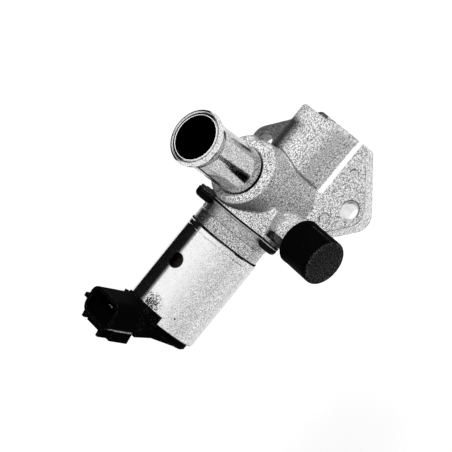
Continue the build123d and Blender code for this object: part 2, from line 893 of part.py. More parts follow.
with BuildPart() as connector_cover:
    # shell of the plug socket
    with BuildSketch(along(can_r)):
        RectangleRounded(shell_w, shell_h, shell_corner_r)
    extrude(amount=mouth_s - can_r)
    # latch: a high and a low rail from the mouth, and the wide block behind them
    with BuildSketch(along(mouth_s)):
        with Locations((rail_y, -shell_h / 2 - latch_h / 2 + 1)):
            Rectangle(rail_t, latch_h + 2)
        with Locations((low_rail_y, -shell_h / 2 - low_rail_h / 2 + 1)):
            Rectangle(low_rail_t, low_rail_h + 2)
    extrude(amount=-rail_l)
    with BuildSketch(along(mouth_s - rail_l)):
        with Locations((0, -shell_h / 2 - latch_h / 2 + 1)):
            Rectangle(2 * latch_half_w, latch_h + 2)
    extrude(amount=-latch_l)
    # key rib at one end of the mouth
    with BuildSketch(along(mouth_s)):
        with Locations((-shell_w / 2 - key_h / 2 + 0.5, -0.5)):
            Rectangle(key_h + 1, key_w)
    extrude(amount=-key_l)
    # saddle of the root over the can's rear edge
    with BuildSketch(across(can_end_x + 0.6)):
        Circle(can_r + saddle_h)
        with BuildLine():
            near = 2 * can_r * tan(radians(saddle_angle))
            far = 2 * can_r * tan(radians(saddle_far_angle))
            Polyline((0, 0), (near, 2 * can_r), (-far, 2 * can_r), close=True)
        make_face(mode=Mode.INTERSECT)
    extrude(amount=-saddle_l)
    # root that carries the shell down to the end cover
    with BuildSketch(Plane(origin=(0, root_half_w, 0), x_dir=(1, 0, 0), z_dir=(0, -1, 0))):
        with BuildLine():
            free_x = connector_foot_x + root_s * dir_x + shell_h / 2 * dir_z
            free_z = axis_z + root_s * dir_z - shell_h / 2 * dir_x
            body_x = connector_foot_x + root_s * dir_x - shell_h / 2 * dir_z
            body_z = axis_z + root_s * dir_z + shell_h / 2 * dir_x
            Polyline(
                (can_end_x + 0.1, axis_z - root_low),
                (cover_end_x + 0.6, axis_z - root_low),
                (cover_end_x + 1.1, axis_z - root_low * 0.7),
                (cover_end_x + 2.9, axis_z + can_r * 0.47),
                (free_x, free_z),
                (body_x, body_z),
                (body_x, axis_z + can_r),
                (can_end_x + 0.1, axis_z + can_r),
                close=True,
            )
        make_face()
    extrude(amount=2 * root_half_w)
    # clear of the can
    with BuildSketch(across(can_end_x + 0.1)):
        Circle(can_r + 0.3)
    extrude(amount=-2 * can_r, mode=Mode.SUBTRACT)
    # end cover with its rim under the can's lip and the groove for its seal
    with BuildSketch(valve_plane):
        with BuildLine():
            Polyline(
                (cover_x, 0),
                (cover_x, can_in_r - locate),
                (groove_x, can_in_r - locate),
                (groove_x, cover_groove_r),
                (groove_x + groove_w, cover_groove_r),
                (groove_x + groove_w, can_in_r - locate),
                (can_end_x - can_lip_t, can_in_r - locate),
                (can_end_x - can_lip_t, can_lip_r - locate),
                (cover_end_x - 0.8, can_lip_r - locate),
                (cover_end_x, can_lip_r - locate - 0.8),
                (cover_end_x, 0),
                close=True,
            )
        make_face()
    revolve(axis=valve_axis)
    # socket and the slots that hold the terminals
    with BuildSketch(along(mouth_s)):
        RectangleRounded(shell_w - 2 * shell_wall, shell_h - 2 * shell_wall, shell_corner_r - shell_wall)
    extrude(amount=socket_floor_s - mouth_s, mode=Mode.SUBTRACT)
    with BuildSketch(along(terminal_s)):
        with Locations((terminal_y, 0), (-terminal_y, 0)):
            Rectangle(terminal_w + 2 * press, terminal_t + 2 * press)
    extrude(amount=socket_floor_s - terminal_s, mode=Mode.SUBTRACT)
connector_cover.part.label = "connector_cover"
export_step(connector_cover.part, "parts/connector_cover.step")

# Terminals: two flat blades in the socket
with BuildPart() as terminals:
    with BuildSketch(along(terminal_s)):
        with Locations((terminal_y, 0), (-terminal_y, 0)):
            Rectangle(terminal_w, terminal_t)
    extrude(amount=terminal_tip_s - terminal_s)
    chamfer(terminals.edges().filter_by(Axis.Y).group_by(Axis.Z)[-1], 0.2)
terminals.part.label = "terminals"
export_step(terminals.part, "parts/terminals.step")

# Cover seal: rubber ring in the cover's groove, against the inside of the can
with BuildPart() as cover_seal:
    with BuildSketch(valve_plane):
        with Locations((groove_x + groove_w / 2, (cover_groove_r + can_in_r) / 2)):
            Circle((can_in_r - cover_groove_r) / 2 - 0.04)
    revolve(axis=valve_axis)
cover_seal.part.label = "cover_seal"
export_step(cover_seal.part, "parts/cover_seal.step")
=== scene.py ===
import bpy
import numpy as np
from mathutils import Matrix, Vector


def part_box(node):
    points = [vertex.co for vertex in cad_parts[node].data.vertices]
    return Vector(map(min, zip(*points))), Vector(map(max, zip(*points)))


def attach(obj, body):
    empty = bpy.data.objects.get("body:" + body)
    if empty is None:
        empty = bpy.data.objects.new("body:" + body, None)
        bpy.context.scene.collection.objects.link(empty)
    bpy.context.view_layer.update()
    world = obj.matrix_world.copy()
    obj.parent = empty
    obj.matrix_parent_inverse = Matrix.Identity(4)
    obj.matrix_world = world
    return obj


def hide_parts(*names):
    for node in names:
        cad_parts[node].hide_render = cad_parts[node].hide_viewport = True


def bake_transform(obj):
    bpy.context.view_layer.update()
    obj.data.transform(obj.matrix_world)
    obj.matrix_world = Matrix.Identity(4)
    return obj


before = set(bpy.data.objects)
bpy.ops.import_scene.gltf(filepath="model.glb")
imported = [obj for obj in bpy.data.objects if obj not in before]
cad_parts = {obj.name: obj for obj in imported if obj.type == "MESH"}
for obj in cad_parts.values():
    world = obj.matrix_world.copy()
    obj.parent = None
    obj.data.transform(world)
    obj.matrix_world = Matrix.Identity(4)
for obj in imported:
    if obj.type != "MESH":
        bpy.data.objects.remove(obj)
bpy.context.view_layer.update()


# Valve body: one aluminium die casting, with the mounting flange, the outlet block, the tower for
# the hose nipple and the neck for the solenoid. It is blasted, so it has a strong fine grain, and
# only the mounting face, the joint face and the bolt holes are machined bright.
def start_finish(name):
    """A new material, its node tree, its shader and the place on the object in metres."""
    made = bpy.data.materials.new(name)
    made.use_nodes = True
    tree = made.node_tree
    place = tree.nodes.new("ShaderNodeTexCoord").outputs["Object"]
    return made, tree, tree.nodes["Principled BSDF"], place


def stretched(tree, place, scale):
    """The place with each axis scaled, so that a pattern is drawn out along the small ones."""
    mapping = tree.nodes.new("ShaderNodeMapping")
    mapping.inputs["Scale"].default_value = scale
    tree.links.new(place, mapping.inputs["Vector"])
    return mapping.outputs["Vector"]


def grain(tree, place, period, detail=2.0, roughness=0.6):
    """Noise from 0 to 1 whose largest features are one period, in metres, across."""
    noise = tree.nodes.new("ShaderNodeTexNoise")
    noise.inputs["Scale"].default_value = 1 / period
    noise.inputs["Detail"].default_value = detail
    noise.inputs["Roughness"].default_value = roughness
    tree.links.new(place, noise.inputs["Vector"])
    return noise.outputs["Fac"]


def shades(tree, value, *stops):
    """A value turned into greys or colours by stops of (value, colour)."""
    ramp = tree.nodes.new("ShaderNodeValToRGB")
    while len(ramp.color_ramp.elements) < len(stops):
        ramp.color_ramp.elements.new(0.5)
    for element, (at, colour) in zip(ramp.color_ramp.elements, stops):
        element.position = at
        element.color = (*colour, 1) if isinstance(colour, tuple) else (colour, colour, colour, 1)
    tree.links.new(value, ramp.inputs["Fac"])
    return ramp.outputs["Color"]


def joined(tree, one, two, kind="MULTIPLY", share=1.0):
    """Two colours joined, multiplied or mixed, with the second at a fixed or a patterned share."""
    mix = tree.nodes.new("ShaderNodeMix")
    mix.data_type = "RGBA"
    mix.blend_type = kind
    if isinstance(share, float):
        mix.inputs["Factor"].default_value = share
    else:
        tree.links.new(share, mix.inputs["Factor"])
    first_colour, second_colour, result = mix.inputs[6], mix.inputs[7], mix.outputs[2]
    for colour, socket in ((one, first_colour), (two, second_colour)):
        if isinstance(colour, float):
            socket.default_value = (colour, colour, colour, 1)
        else:
            tree.links.new(colour, socket)
    return result


def darkened(tree, colour, kept, where):
    """A colour of which only the kept share is left where a mask holds."""
    return joined(tree, colour, kept, "MULTIPLY", where)


def covered(tree, colour, coat, where):
    """A colour that a coat, a grey or another colour, covers where a mask holds."""
    return joined(tree, colour, coat, "MIX", where)


def rise(tree, value, low, high):
    """A value turned into a smooth step, 0 at low and 1 at high, falling if low is the larger."""
    step = tree.nodes.new("ShaderNodeMapRange")
    step.interpolation_type = "SMOOTHSTEP"
    step.inputs["From Min"].default_value = min(low, high)
    step.inputs["From Max"].default_value = max(low, high)
    step.inputs["To Min"].default_value = 0.0 if low < high else 1.0
    step.inputs["To Max"].default_value = 1.0 if low < high else 0.0
    tree.links.new(value, step.inputs["Value"])
    return step.outputs["Result"]


def from_line(tree, place, through, counted):
    """The distance of the place from a line through a point, with counted 1 on the two axes across
    the line, or from the point itself with all three axes counted."""
    less = tree.nodes.new("ShaderNodeVectorMath")
    less.operation = "SUBTRACT"
    less.inputs[1].default_value = through
    flat = tree.nodes.new("ShaderNodeVectorMath")
    flat.operation = "MULTIPLY"
    flat.inputs[1].default_value = counted
    size = tree.nodes.new("ShaderNodeVectorMath")
    size.operation = "LENGTH"
    tree.links.new(place, less.inputs[0])
    tree.links.new(less.outputs["Vector"], flat.inputs[0])
    tree.links.new(flat.outputs["Vector"], size.inputs[0])
    return size.outputs["Value"]


def part_of(tree, place, axis):
    """One coordinate of the place: X, Y or Z, in metres."""
    split = tree.nodes.new("ShaderNodeSeparateXYZ")
    tree.links.new(place, split.inputs["Vector"])
    return split.outputs[axis]


def combined(tree, one, two, how):
    """Two values put together by one sum: MAXIMUM, MULTIPLY or ADD."""
    sum_node = tree.nodes.new("ShaderNodeMath")
    sum_node.operation = how
    tree.links.new(one, sum_node.inputs[0])
    tree.links.new(two, sum_node.inputs[1])
    return sum_node.outputs[0]


def all_of(tree, first, *others):
    """A mask that holds only where all of these masks hold: their product."""
    for other in others:
        first = combined(tree, first, other, "MULTIPLY")
    return first


def any_of(tree, first, *others):
    """A mask that holds where at least one of these masks holds: the largest of them."""
    for other in others:
        first = combined(tree, first, other, "MAXIMUM")
    return first


def patch(tree, *bounds):
    """A mask that holds inside all of its bounds. Each bound is a value, where the mask is 0
    and where it is 1."""
    return all_of(tree, *(rise(tree, value, none, full) for value, none, full in bounds))


def edges(tree, width):
    """1 on edges and corners, 0 on flat or gently curved skin: how far a normal softened over the
    width turns away from the true one, by the cosine between them."""
    flat_cosine, edge_cosine = 0.99, 0.86
    soft = tree.nodes.new("ShaderNodeBevel")
    soft.samples = 6
    soft.inputs["Radius"].default_value = width
    plain = tree.nodes.new("ShaderNodeNewGeometry")
    dot = tree.nodes.new("ShaderNodeVectorMath")
    dot.operation = "DOT_PRODUCT"
    tree.links.new(soft.outputs["Normal"], dot.inputs[0])
    tree.links.new(plain.outputs["Normal"], dot.inputs[1])
    return rise(tree, dot.outputs["Value"], flat_cosine, edge_cosine)


def lay_on(tree, shader, colour, rough, height, depth):
    """Gives the shader its colour, its roughness and its bump, from a height of 0 to 1 that is
    depth metres deep."""
    bump = tree.nodes.new("ShaderNodeBump")
    bump.inputs["Strength"].default_value = 1.0
    bump.inputs["Distance"].default_value = depth
    tree.links.new(height, bump.inputs["Height"])
    tree.links.new(bump.outputs["Normal"], shader.inputs["Normal"])
    tree.links.new(colour, shader.inputs["Base Color"])
    tree.links.new(rough, shader.inputs["Roughness"])


def dress(finish, *nodes):
    """Gives every slot of these CAD nodes this finish."""
    for node in nodes:
        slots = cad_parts[node].data.materials
        slots.clear()
        slots.append(finish)


in_plan = (1, 1, 0)
bolt_y, bolt_rim_r, plate_top, joint_x = 0.029, 0.0044, 0.007, 0.03
tower_x, tower_r, collar_z = 0.0138, 0.0157, 0.0426
pin_marks, pin_mark_r = ((-0.0125, 0.0190), (0.0089, 0.0213)), 0.0022
casting, tree, shader, place = start_finish("blasted_aluminium")
length, across, upward = (part_of(tree, place, axis) for axis in "XYZ")
fine = grain(tree, place, period=0.00042, detail=1.0)
patches = grain(tree, place, period=0.005, detail=3.0)
skin = joined(tree, shades(tree, fine, (0.4, 0.08), (0.5, 0.64), (0.6, 1.0)),
              shades(tree, patches, (0.3, 0.92), (0.7, 1.0)))
on_plate = rise(tree, upward, plate_top + 0.0006, plate_top + 0.0002)
skin = darkened(tree, skin, 0.9, on_plate)

# Painted shadow on the far ear of the mounting flange, deeper towards the block
painted_far_ear_shadow = patch(tree, (across, -0.0105, -0.0135), (upward, 0.0095, 0.0075))
skin = darkened(tree, skin, 0.18, painted_far_ear_shadow)
skin = darkened(tree, skin, 0.25, all_of(tree, painted_far_ear_shadow, rise(tree, across, -0.0175, -0.0135)))

# Painted light on the block's near side, in a paler grain of its own, and a stronger grain on the
# tower's wall
off_tower = from_line(tree, place, (tower_x, 0, 0), in_plan)
at_boss = patch(tree, (length, 0.0155, 0.0165), (across, 0.0, 0.002), (upward, 0.0302, 0.0298))
on_tower = patch(tree, (off_tower, tower_r + 0.0001, tower_r),
                 (off_tower, tower_r - 0.0010, tower_r - 0.0008),
                 (upward, collar_z - 0.0003, collar_z - 0.0012), (upward, 0.0072, 0.0085),
                 (at_boss, 1.0, 0.0))
painted_light_side = patch(tree, (across, 0.004, 0.009), (upward, 0.0082, 0.0095), (length, 0.001, -0.001))
skin = covered(tree, skin, shades(tree, fine, (0.4, 0.12), (0.5, 0.74), (0.58, 1.0)), painted_light_side)
skin = darkened(tree, skin, shades(tree, fine, (0.38, 0.3), (0.5, 1.0)), on_tower)

# Painted shade in the crease where the tower meets the block, on the tower's can side, on the
# block's far flank, end stub and crown, and on the far lug, each with the share of the skin's light
# that it leaves
crease = patch(tree, (off_tower, tower_r - 0.0001, tower_r + 0.0002),
               (off_tower, tower_r + 0.0010, tower_r + 0.0005),
               (length, 0.008, 0.005), (upward, 0.0085, 0.0095), (across, -0.006, -0.003))
can_side = all_of(tree, on_tower, rise(tree, length, 0.015, 0.026))
flank = patch(tree, (across, -0.0060, -0.0078), (upward, 0.0075, 0.0095), (length, 0.002, -0.002))
stub = patch(tree, (length, -0.0230, -0.0232), (upward, 0.015, 0.017))
crown = patch(tree, (across, 0.0042, -0.0030), (upward, 0.018, 0.022),
              (length, -0.0180, -0.0140), (length, 0.002, -0.001))
far_lug = patch(tree, (length, 0.0280, 0.0284), (across, -0.003, -0.005), (upward, 0.0345, 0.0365))
for left, stain_and_painted_shade in ((0.3, crease), (0.16, can_side), (0.25, flank), (0.12, stub), (0.05, crown),
                    (0.03, far_lug)):
    skin = darkened(tree, skin, left, stain_and_painted_shade)

# Painted light on the flange's walls and the web's near face, pale between the pits, and painted
# shade in the notch beside the spigot
plate_wall = patch(tree, (upward, plate_top - 0.0004, plate_top - 0.0008), (upward, 0.0001, 0.0004))
web_face = patch(tree, (across, 0.0173, 0.0175), (across, 0.0179, 0.0177), (upward, 0.0215, 0.0225),
                 (length, 0.0172, 0.0178), (length, 0.0290, 0.0284))
painted_light_walls = any_of(tree, plate_wall, web_face)
skin = covered(tree, skin, 0.97, all_of(tree, painted_light_walls, rise(tree, fine, 0.40, 0.50)))
notch_shade = patch(tree, (across, 0.0150, 0.0160), (length, 0.0256, 0.0262), (length, 0.0303, 0.0301),
              (upward, 0.0262, 0.0248), (upward, 0.0135, 0.0145))
skin = darkened(tree, skin, 0.08, notch_shade)

# Broken lines of painted shade under the flange's top edge, round the ejector pins' marks and round
# the near bolt hole
line = patch(tree, (upward, plate_top - 0.0008, plate_top - 0.0006),
             (upward, plate_top - 0.00028, plate_top - 0.00036), (patches, 0.44, 0.5))
for mark_x, mark_y in pin_marks:
    off_mark = from_line(tree, place, (mark_x, mark_y, 0), in_plan)
    ring = patch(tree, (off_mark, pin_mark_r - 0.0002, pin_mark_r),
                 (off_mark, pin_mark_r + 0.0004, pin_mark_r + 0.0002), (patches, 0.42, 0.5))
    line = any_of(tree, line, all_of(tree, ring, on_plate))
off_near_bolt, off_far_bolt = (from_line(tree, place, (0, y, 0), in_plan)
                               for y in (bolt_y, -bolt_y))
rim = patch(tree, (off_near_bolt, bolt_rim_r - 0.0002, bolt_rim_r),
            (off_near_bolt, bolt_rim_r + 0.0005, bolt_rim_r + 0.0003), (length, 0.001, -0.001))
skin = covered(tree, skin, 0.03, any_of(tree, line, all_of(tree, rim, on_plate)))

# A painted highlight along the foot of the block, and the edges rubbed bright
foot_highlight = patch(tree, (across, 0.0104, 0.0108), (across, 0.0130, 0.0125), (upward, 0.0080, 0.0074),
                (upward, 0.0066, 0.00695), (length, 0.003, 0.0005))
skin = covered(tree, skin, 0.97, foot_highlight)
unmarked = patch(tree, (line, 0.5, 0.1), (any_of(tree, far_lug, notch_shade), 0.5, 0.1))
skin = covered(tree, skin, 0.95, all_of(tree, edges(tree, width=0.0004), fine, unmarked))

# The milled mounting face and joint face and the drilled bolt holes, with painted shadow at the far
# ear
milled = any_of(tree, rise(tree, upward, 0.00006, 0.00002),
                rise(tree, off_near_bolt, bolt_rim_r, bolt_rim_r - 0.0003),
                rise(tree, off_far_bolt, bolt_rim_r, bolt_rim_r - 0.0003),
                rise(tree, length, joint_x - 0.00008, joint_x - 0.00003))
cutter = grain(tree, stretched(tree, place, (0.04, 1, 1)), period=0.0005, detail=1.0)
skin = covered(tree, skin, shades(tree, cutter, (0.3, 0.72), (0.7, 0.9)), milled)
skin = darkened(tree, skin, 0.25, all_of(tree, painted_far_ear_shadow, milled, rise(tree, upward, 0.0001, 0.0004)))
tree.links.new(rise(tree, any_of(tree, milled, painted_light_walls), -0.2, 1.3), shader.inputs["Metallic"])
lay_on(tree, shader, skin, covered(tree, shades(tree, fine, (0.3, 0.7), (0.7, 0.5)), 0.32, milled),
       covered(tree, fine, cutter, milled), depth=0.00006)
dress(casting, "valve_body")

# Valve seat: a turned bronze ring pressed into the casting, with its bevelled land towards the
# disc. The stem's guide bush and the stop washer are turned from the same bar.
bronze, tree, shader, place = start_finish("turned_bronze")
lines = grain(tree, stretched(tree, place, (1, 0.03, 0.03)), period=0.0004)
tarnish = grain(tree, place, period=0.003, detail=4.0)
colour = joined(tree, shades(tree, tarnish, (0.3, (0.42, 0.25, 0.09)), (0.7, (0.62, 0.41, 0.17))),
                shades(tree, lines, (0.3, 0.8), (0.7, 1.0)))
shader.inputs["Metallic"].default_value = 1.0
lay_on(tree, shader, colour, shades(tree, lines, (0.3, 0.28), (0.7, 0.42)), lines, depth=0.00002)
dress(bronze, "valve_seat", "guide_bush", "stop_washer")


# Hose nipple: a drawn steel tube with a flared, rolled mouth, dull zinc plated and pressed into the
# tower. Its bore, a ring at its foot and the far side of its mouth are dark with painted shadow,
# and the edge of its throat is pale with a painted highlight.
def spun(profile, start, along, out, steps):
    """A profile of (distance, radius) turned round a line: start + distance x along + radius x
    (cos t x out + sin t x side), with t once round in steps and side square to the other two."""
    along, out = np.array(along, float), np.array(out, float)
    t = np.linspace(0, 2 * np.pi, steps, endpoint=False)[:, None]
    ring = np.cos(t) * out + np.sin(t) * np.cross(along, out)
    return np.array(start) + profile[:, :1, None] * along + profile[:, 1:, None] * ring


def skinned(name, grid, looped, finish, slot, body, *nodes):
    """A closed mesh on a grid of points (rows, columns, 3). The columns close into rings. The rows
    close into a loop, or else end in two poles at the means of the first and last row. It stands
    for the nodes, and rides on the body if one is given."""
    rows, columns = grid.shape[:2]
    index = np.arange(rows * columns).reshape(rows, columns)
    turned = np.roll(index, -1, axis=1)
    further, far_turned = np.roll(index, -1, axis=0), np.roll(turned, -1, axis=0)
    quads = np.stack([index, turned, far_turned, further], axis=-1)
    points = grid.reshape(-1, 3)
    faces = (quads if looped else quads[:-1]).reshape(-1, 4).tolist()
    if not looped:
        first, last = len(points), len(points) + 1
        points = np.concatenate([points, [grid[0].mean(axis=0), grid[-1].mean(axis=0)]])
        faces += np.stack([np.full(columns, first), turned[0], index[0]], axis=-1).tolist()
        faces += np.stack([np.full(columns, last), index[-1], turned[-1]], axis=-1).tolist()
    mesh = bpy.data.meshes.new(name)
    mesh.from_pydata(points.tolist(), [], faces)
    mesh.polygons.foreach_set("use_smooth", np.ones(len(faces), dtype=bool))
    mesh.materials.append(finish)
    piece = bpy.data.objects.new(name, mesh)
    bpy.context.scene.collection.objects.link(piece)
    if body:
        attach(piece, body)
    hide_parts(*nodes)
    return piece


def bend(centre, radius, start, end, count):
    """Points on an arc, as (distance, radius) of a profile, between two angles in degrees."""
    t = np.radians(np.linspace(start, end, count))
    return np.stack([centre[0] + radius * np.cos(t), centre[1] + radius * np.sin(t)], axis=1)


low, high = (np.array(corner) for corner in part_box("hose_nipple"))
tube_x, seat_z, mouth_z = (low[0] + high[0]) / 2, low[2], high[2]
tube_r, bore_r, flare_r = 0.01025, 0.00915, (high[0] - low[0]) / 2
rim_r, groove_r, lip_r = 0.0095, 0.00985, 0.0106
corner, run, lip_h, lip_roll, swell = 0.0002, 0.0006, 0.0015, 0.0014, 0.00012
step_z, lip_z = mouth_z - 0.0062, mouth_z - lip_h
groove_z, rim_z = mouth_z - 0.0006, mouth_z - 0.0002
flare_foot = np.array([(step_z + 0.0003, tube_r + 0.00045)])
flare_end, most_swell = np.array([(lip_z, flare_r)]), np.array([(0, swell)])
up = np.linspace(0, 1, 14)[1:-1, None]
roll = np.radians(np.linspace(0, 90, 12))

# From the seat up the wall, along a flare that is straight but for a swell of sin(pi up), over the
# lip in a quarter of an ellipse, through the groove behind the inner rim and back down the bore
nipple_profile = np.concatenate([
    [(seat_z, bore_r + corner), (seat_z, tube_r - corner)],
    [(seat_z + corner, tube_r), (seat_z + run, tube_r)],
    [(step_z - run, tube_r), (step_z - corner, tube_r), (step_z, tube_r + corner / 2)],
    flare_foot,
    flare_foot * (1 - up) + flare_end * up + most_swell * np.sin(np.pi * up),
    np.stack([lip_z + lip_h * np.sin(roll), flare_r - lip_roll * (1 - np.cos(roll))], axis=1),
    [(mouth_z - 0.00004, lip_r + 0.0001), (mouth_z - 0.00015, lip_r), (groove_z, lip_r - 0.00004)],
    [(groove_z, groove_r - 0.0001), (rim_z, rim_r + 0.0001), (rim_z, rim_r)],
    [(rim_z - 0.0010, bore_r), (rim_z - 0.0014, bore_r)],
    [(seat_z + run, bore_r), (seat_z + corner, bore_r)],
])
plated, tree, shader, place = start_finish("dull_zinc")
cloud = grain(tree, place, period=0.004, detail=3.0)
specks = grain(tree, place, period=0.00055, roughness=0.75)
drawn = grain(tree, stretched(tree, place, (1, 1, 0.02)), period=0.0003, detail=1.0)
zinc = joined(tree, shades(tree, specks, (0.38, 0.26), (0.5, 0.56), (0.62, 0.86)),
              shades(tree, cloud, (0.3, 0.86), (0.7, 1.0)))
zinc = joined(tree, zinc, shades(tree, drawn, (0.3, 0.9), (0.7, 1.0)))
radius = from_line(tree, place, (tube_x, 0, 0), in_plan)
across, height = part_of(tree, place, "Y"), part_of(tree, place, "Z")
# A paler lip; painted shadow in the far side of the mouth, in the bore and in a ring at the foot;
# and a painted highlight on the throat's edge
on_lip = patch(tree, (height, lip_z - 0.0008, lip_z), (radius, lip_r - 0.0001, lip_r),
               (specks, 0.36, 0.5))
mouth_shadow = patch(tree, (height, lip_z - 0.0002, lip_z), (radius, lip_r - 0.00002, lip_r - 0.00008),
                 (across, 0.004, 0.0))
throat_highlight = patch(tree, (height, lip_z - 0.0002, lip_z),
                    (radius, groove_r - 0.00015, groove_r - 0.0002),
                    (radius, rim_r - 0.0001, rim_r - 0.00004))
bore = rise(tree, radius, rim_r - 0.00004, rim_r - 0.0001)
foot_shadow = rise(tree, height, collar_z + 0.0011, collar_z + 0.0009)
black = any_of(tree, bore, foot_shadow)
for coat, where in ((0.85, on_lip), (0.01, mouth_shadow), (0.002, black), (0.9, throat_highlight)):
    zinc = covered(tree, zinc, coat, where)
tree.links.new(rise(tree, throat_highlight, 1.0, 0.0), shader.inputs["Metallic"])
lay_on(tree, shader, zinc, shades(tree, cloud, (0.3, 0.08), (0.7, 0.13)), specks, depth=0.00001)
nipple_points = spun(nipple_profile, (tube_x, 0, 0), (0, 0, 1), (1, 0, 0), steps=160)
skinned("rolled_nipple", nipple_points, True, plated, "bright_steel", "housing", "hose_nipple")

# Blanking cap: a moulded black rubber cap, stretched over the side port's spigot. It has a round
# lip, a barely tapered wall, the mould's parting line near its end and a shallow dish in its end
# face.
low, high = (np.array(corner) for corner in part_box("blanking_cap"))
port_x, port_z = (low[0] + high[0]) / 2, (low[2] + high[2]) / 2
cap_open, cap_end, cap_r = low[1], high[1], (high[0] - low[0]) / 2
cap_bore, cap_floor, floor_bend, pole_r = 0.00692, cap_end - 0.0023, 0.0004, 0.0005
lip, shoulder, dish, draft = 0.0007, 0.0011, 0.00018, 0.00005
bead_end, wall_start, wall_middle = cap_open + 0.0016, cap_open + 0.0019, cap_open + 0.006
seam, seam_half = cap_end - 0.0026, 0.0001
cap_profile = np.concatenate([
    [(cap_floor, pole_r), (cap_floor, cap_bore - floor_bend), (cap_floor - floor_bend, cap_bore)],
    [(cap_open + lip, cap_bore)],
    bend((cap_open + lip, cap_bore + lip), lip, 270, 180, 6),
    bend((cap_open + lip, cap_r - lip), lip, 180, 90, 7),
    [(bead_end, cap_r), (wall_start, cap_r - 3 * draft), (wall_middle, cap_r - 2 * draft)],
    [(seam - seam_half, cap_r - draft), (seam, cap_r), (seam + seam_half, cap_r - draft)],
    bend((cap_end - shoulder, cap_r - shoulder - draft), shoulder, 90, 0, 10),
    [(cap_end, cap_r - 0.0018), (cap_end - dish, cap_r - 0.0022), (cap_end - dish, pole_r)],
])
rubber, tree, shader, place = start_finish("moulded_rubber")
across = part_of(tree, place, "Y")
bloom = grain(tree, place, period=0.0007, detail=3.0, roughness=0.7)
# The end face paler, partly dust and partly a painted sheen; the edges scuffed; and a painted
# highlight in a broken line along the wall
dust_and_painted_light = patch(tree, (bloom, 0.4, 0.66), (across, cap_end - 0.0008, cap_end))
scuffed = all_of(tree, edges(tree, width=0.0005), rise(tree, bloom, 0.4, 0.6))
off_wall_highlight = from_line(tree, place, (0.0139, 0, 0.0192), (1, 0, 1))
wall_highlight = patch(tree, (off_wall_highlight, 0.0003, 0.0001), (bloom, 0.42, 0.54),
                (across, cap_open + 0.004, cap_open + 0.005))
colour = covered(tree, shades(tree, bloom, (0.35, 0.0006), (0.6, 0.0015), (0.75, 0.008)), 0.09,
                 any_of(tree, dust_and_painted_light, scuffed, wall_highlight))
shader.inputs["Specular IOR Level"].default_value = 0.06
shader.inputs["IOR"].default_value = 1.15
lay_on(tree, shader, colour, shades(tree, bloom, (0.3, 0.5), (0.7, 0.75)), bloom, depth=0.00005)
cap_points = spun(cap_profile, (port_x, 0, port_z), (0, 1, 0), (0, 0, 1), steps=128)
skinned("rubber_cap", cap_points, False, rubber, "black_rubber", "housing", "blanking_cap")


# Plunger: a ground steel stem with its disc, spring cup and clip, carrying the soft-iron armature.
# The disc shuts on the seat through a rubber ring, and a coil spring of drawn wire pushes it there.
# The pole piece, the armature's sleeve and the other rubber rings share these finishes.
def bare_metal(name, dark, light, drawn_out, rough):
    """A bright metal between two colours, with tool marks drawn out along the small axes, light
    stains and paler worn edges."""
    made, tree, shader, place = start_finish(name)
    marks = grain(tree, stretched(tree, place, drawn_out), period=0.0004)
    stains = grain(tree, place, period=0.002, detail=4.0)
    colour = joined(tree, shades(tree, stains, (0.3, dark), (0.7, light)),
                    shades(tree, marks, (0.3, 0.84), (0.7, 1.0)))
    worn_grey = float(min(0.95, 1.2 * np.mean(light)))
    colour = covered(tree, colour, worn_grey, edges(tree, width=0.0003))
    shader.inputs["Metallic"].default_value = 1.0
    lay_on(tree, shader, colour, shades(tree, marks, (0.3, rough), (0.7, rough + 0.14)), marks,
           depth=0.000015)
    return made


def coiled(first, last, radius, turns, wire_r, steps, sides):
    """A round wire wound along X: its middle is at (first + s (last - first), -radius sin a,
    radius cos a) from the valve's axis, with a = 2 pi turns s, and each ring of its section stands
    square to its run there."""
    s = np.linspace(0, 1, steps)[:, None]
    a, none = 2 * np.pi * turns * s, 0 * s
    out = np.hstack([none, -np.sin(a), np.cos(a)])
    middle = radius * out + np.hstack([first + s * (last - first), none, none + axis_z])
    round_way = 2 * np.pi * turns * radius
    run = np.hstack([none + last - first, -round_way * np.cos(a), -round_way * np.sin(a)])
    side = np.cross(run / np.linalg.norm(run, axis=1, keepdims=True), out)
    t = np.linspace(0, 2 * np.pi, sides, endpoint=False)[None, :, None]
    return middle[:, None] + wire_r * (np.cos(t) * out[:, None] + np.sin(t) * side[:, None])


turned_lines, drawn_lines, no_lines = (1, 0.03, 0.03), (0.03, 1, 1), (1, 1, 1)
dress(bare_metal("ground_steel", (0.5, 0.5, 0.51), (0.66, 0.66, 0.67), turned_lines, rough=0.2),
      "valve_stem", "valve_disc", "spring_seat")
spring_wire = bare_metal("spring_wire", (0.16, 0.16, 0.17), (0.3, 0.3, 0.31), no_lines, rough=0.26)
dress(spring_wire, "retaining_clip")
dress(bare_metal("soft_iron", (0.28, 0.28, 0.28), (0.42, 0.41, 0.4), turned_lines, rough=0.34),
      "armature", "pole_piece", "rear_flux_washer")
dress(bare_metal("stainless_tube", (0.52, 0.51, 0.5), (0.64, 0.63, 0.62), drawn_lines, rough=0.18),
      "armature_sleeve")
dress(rubber, "disc_seal", "flange_seal", "cover_seal")
axis_z = 0.0218
low, high = (np.array(corner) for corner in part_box("return_spring"))
spring_wire_r, spring_turns = 0.0006, 6.5
spring_r = (high[1] - low[1]) / 2 - spring_wire_r
spring_points = coiled(low[0] + spring_wire_r, high[0] - spring_wire_r, spring_r, spring_turns,
                       spring_wire_r, steps=313, sides=16)
spring = skinned("wound_spring", spring_points, False, spring_wire, "spring_steel", None,
                 "return_spring")
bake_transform(spring)

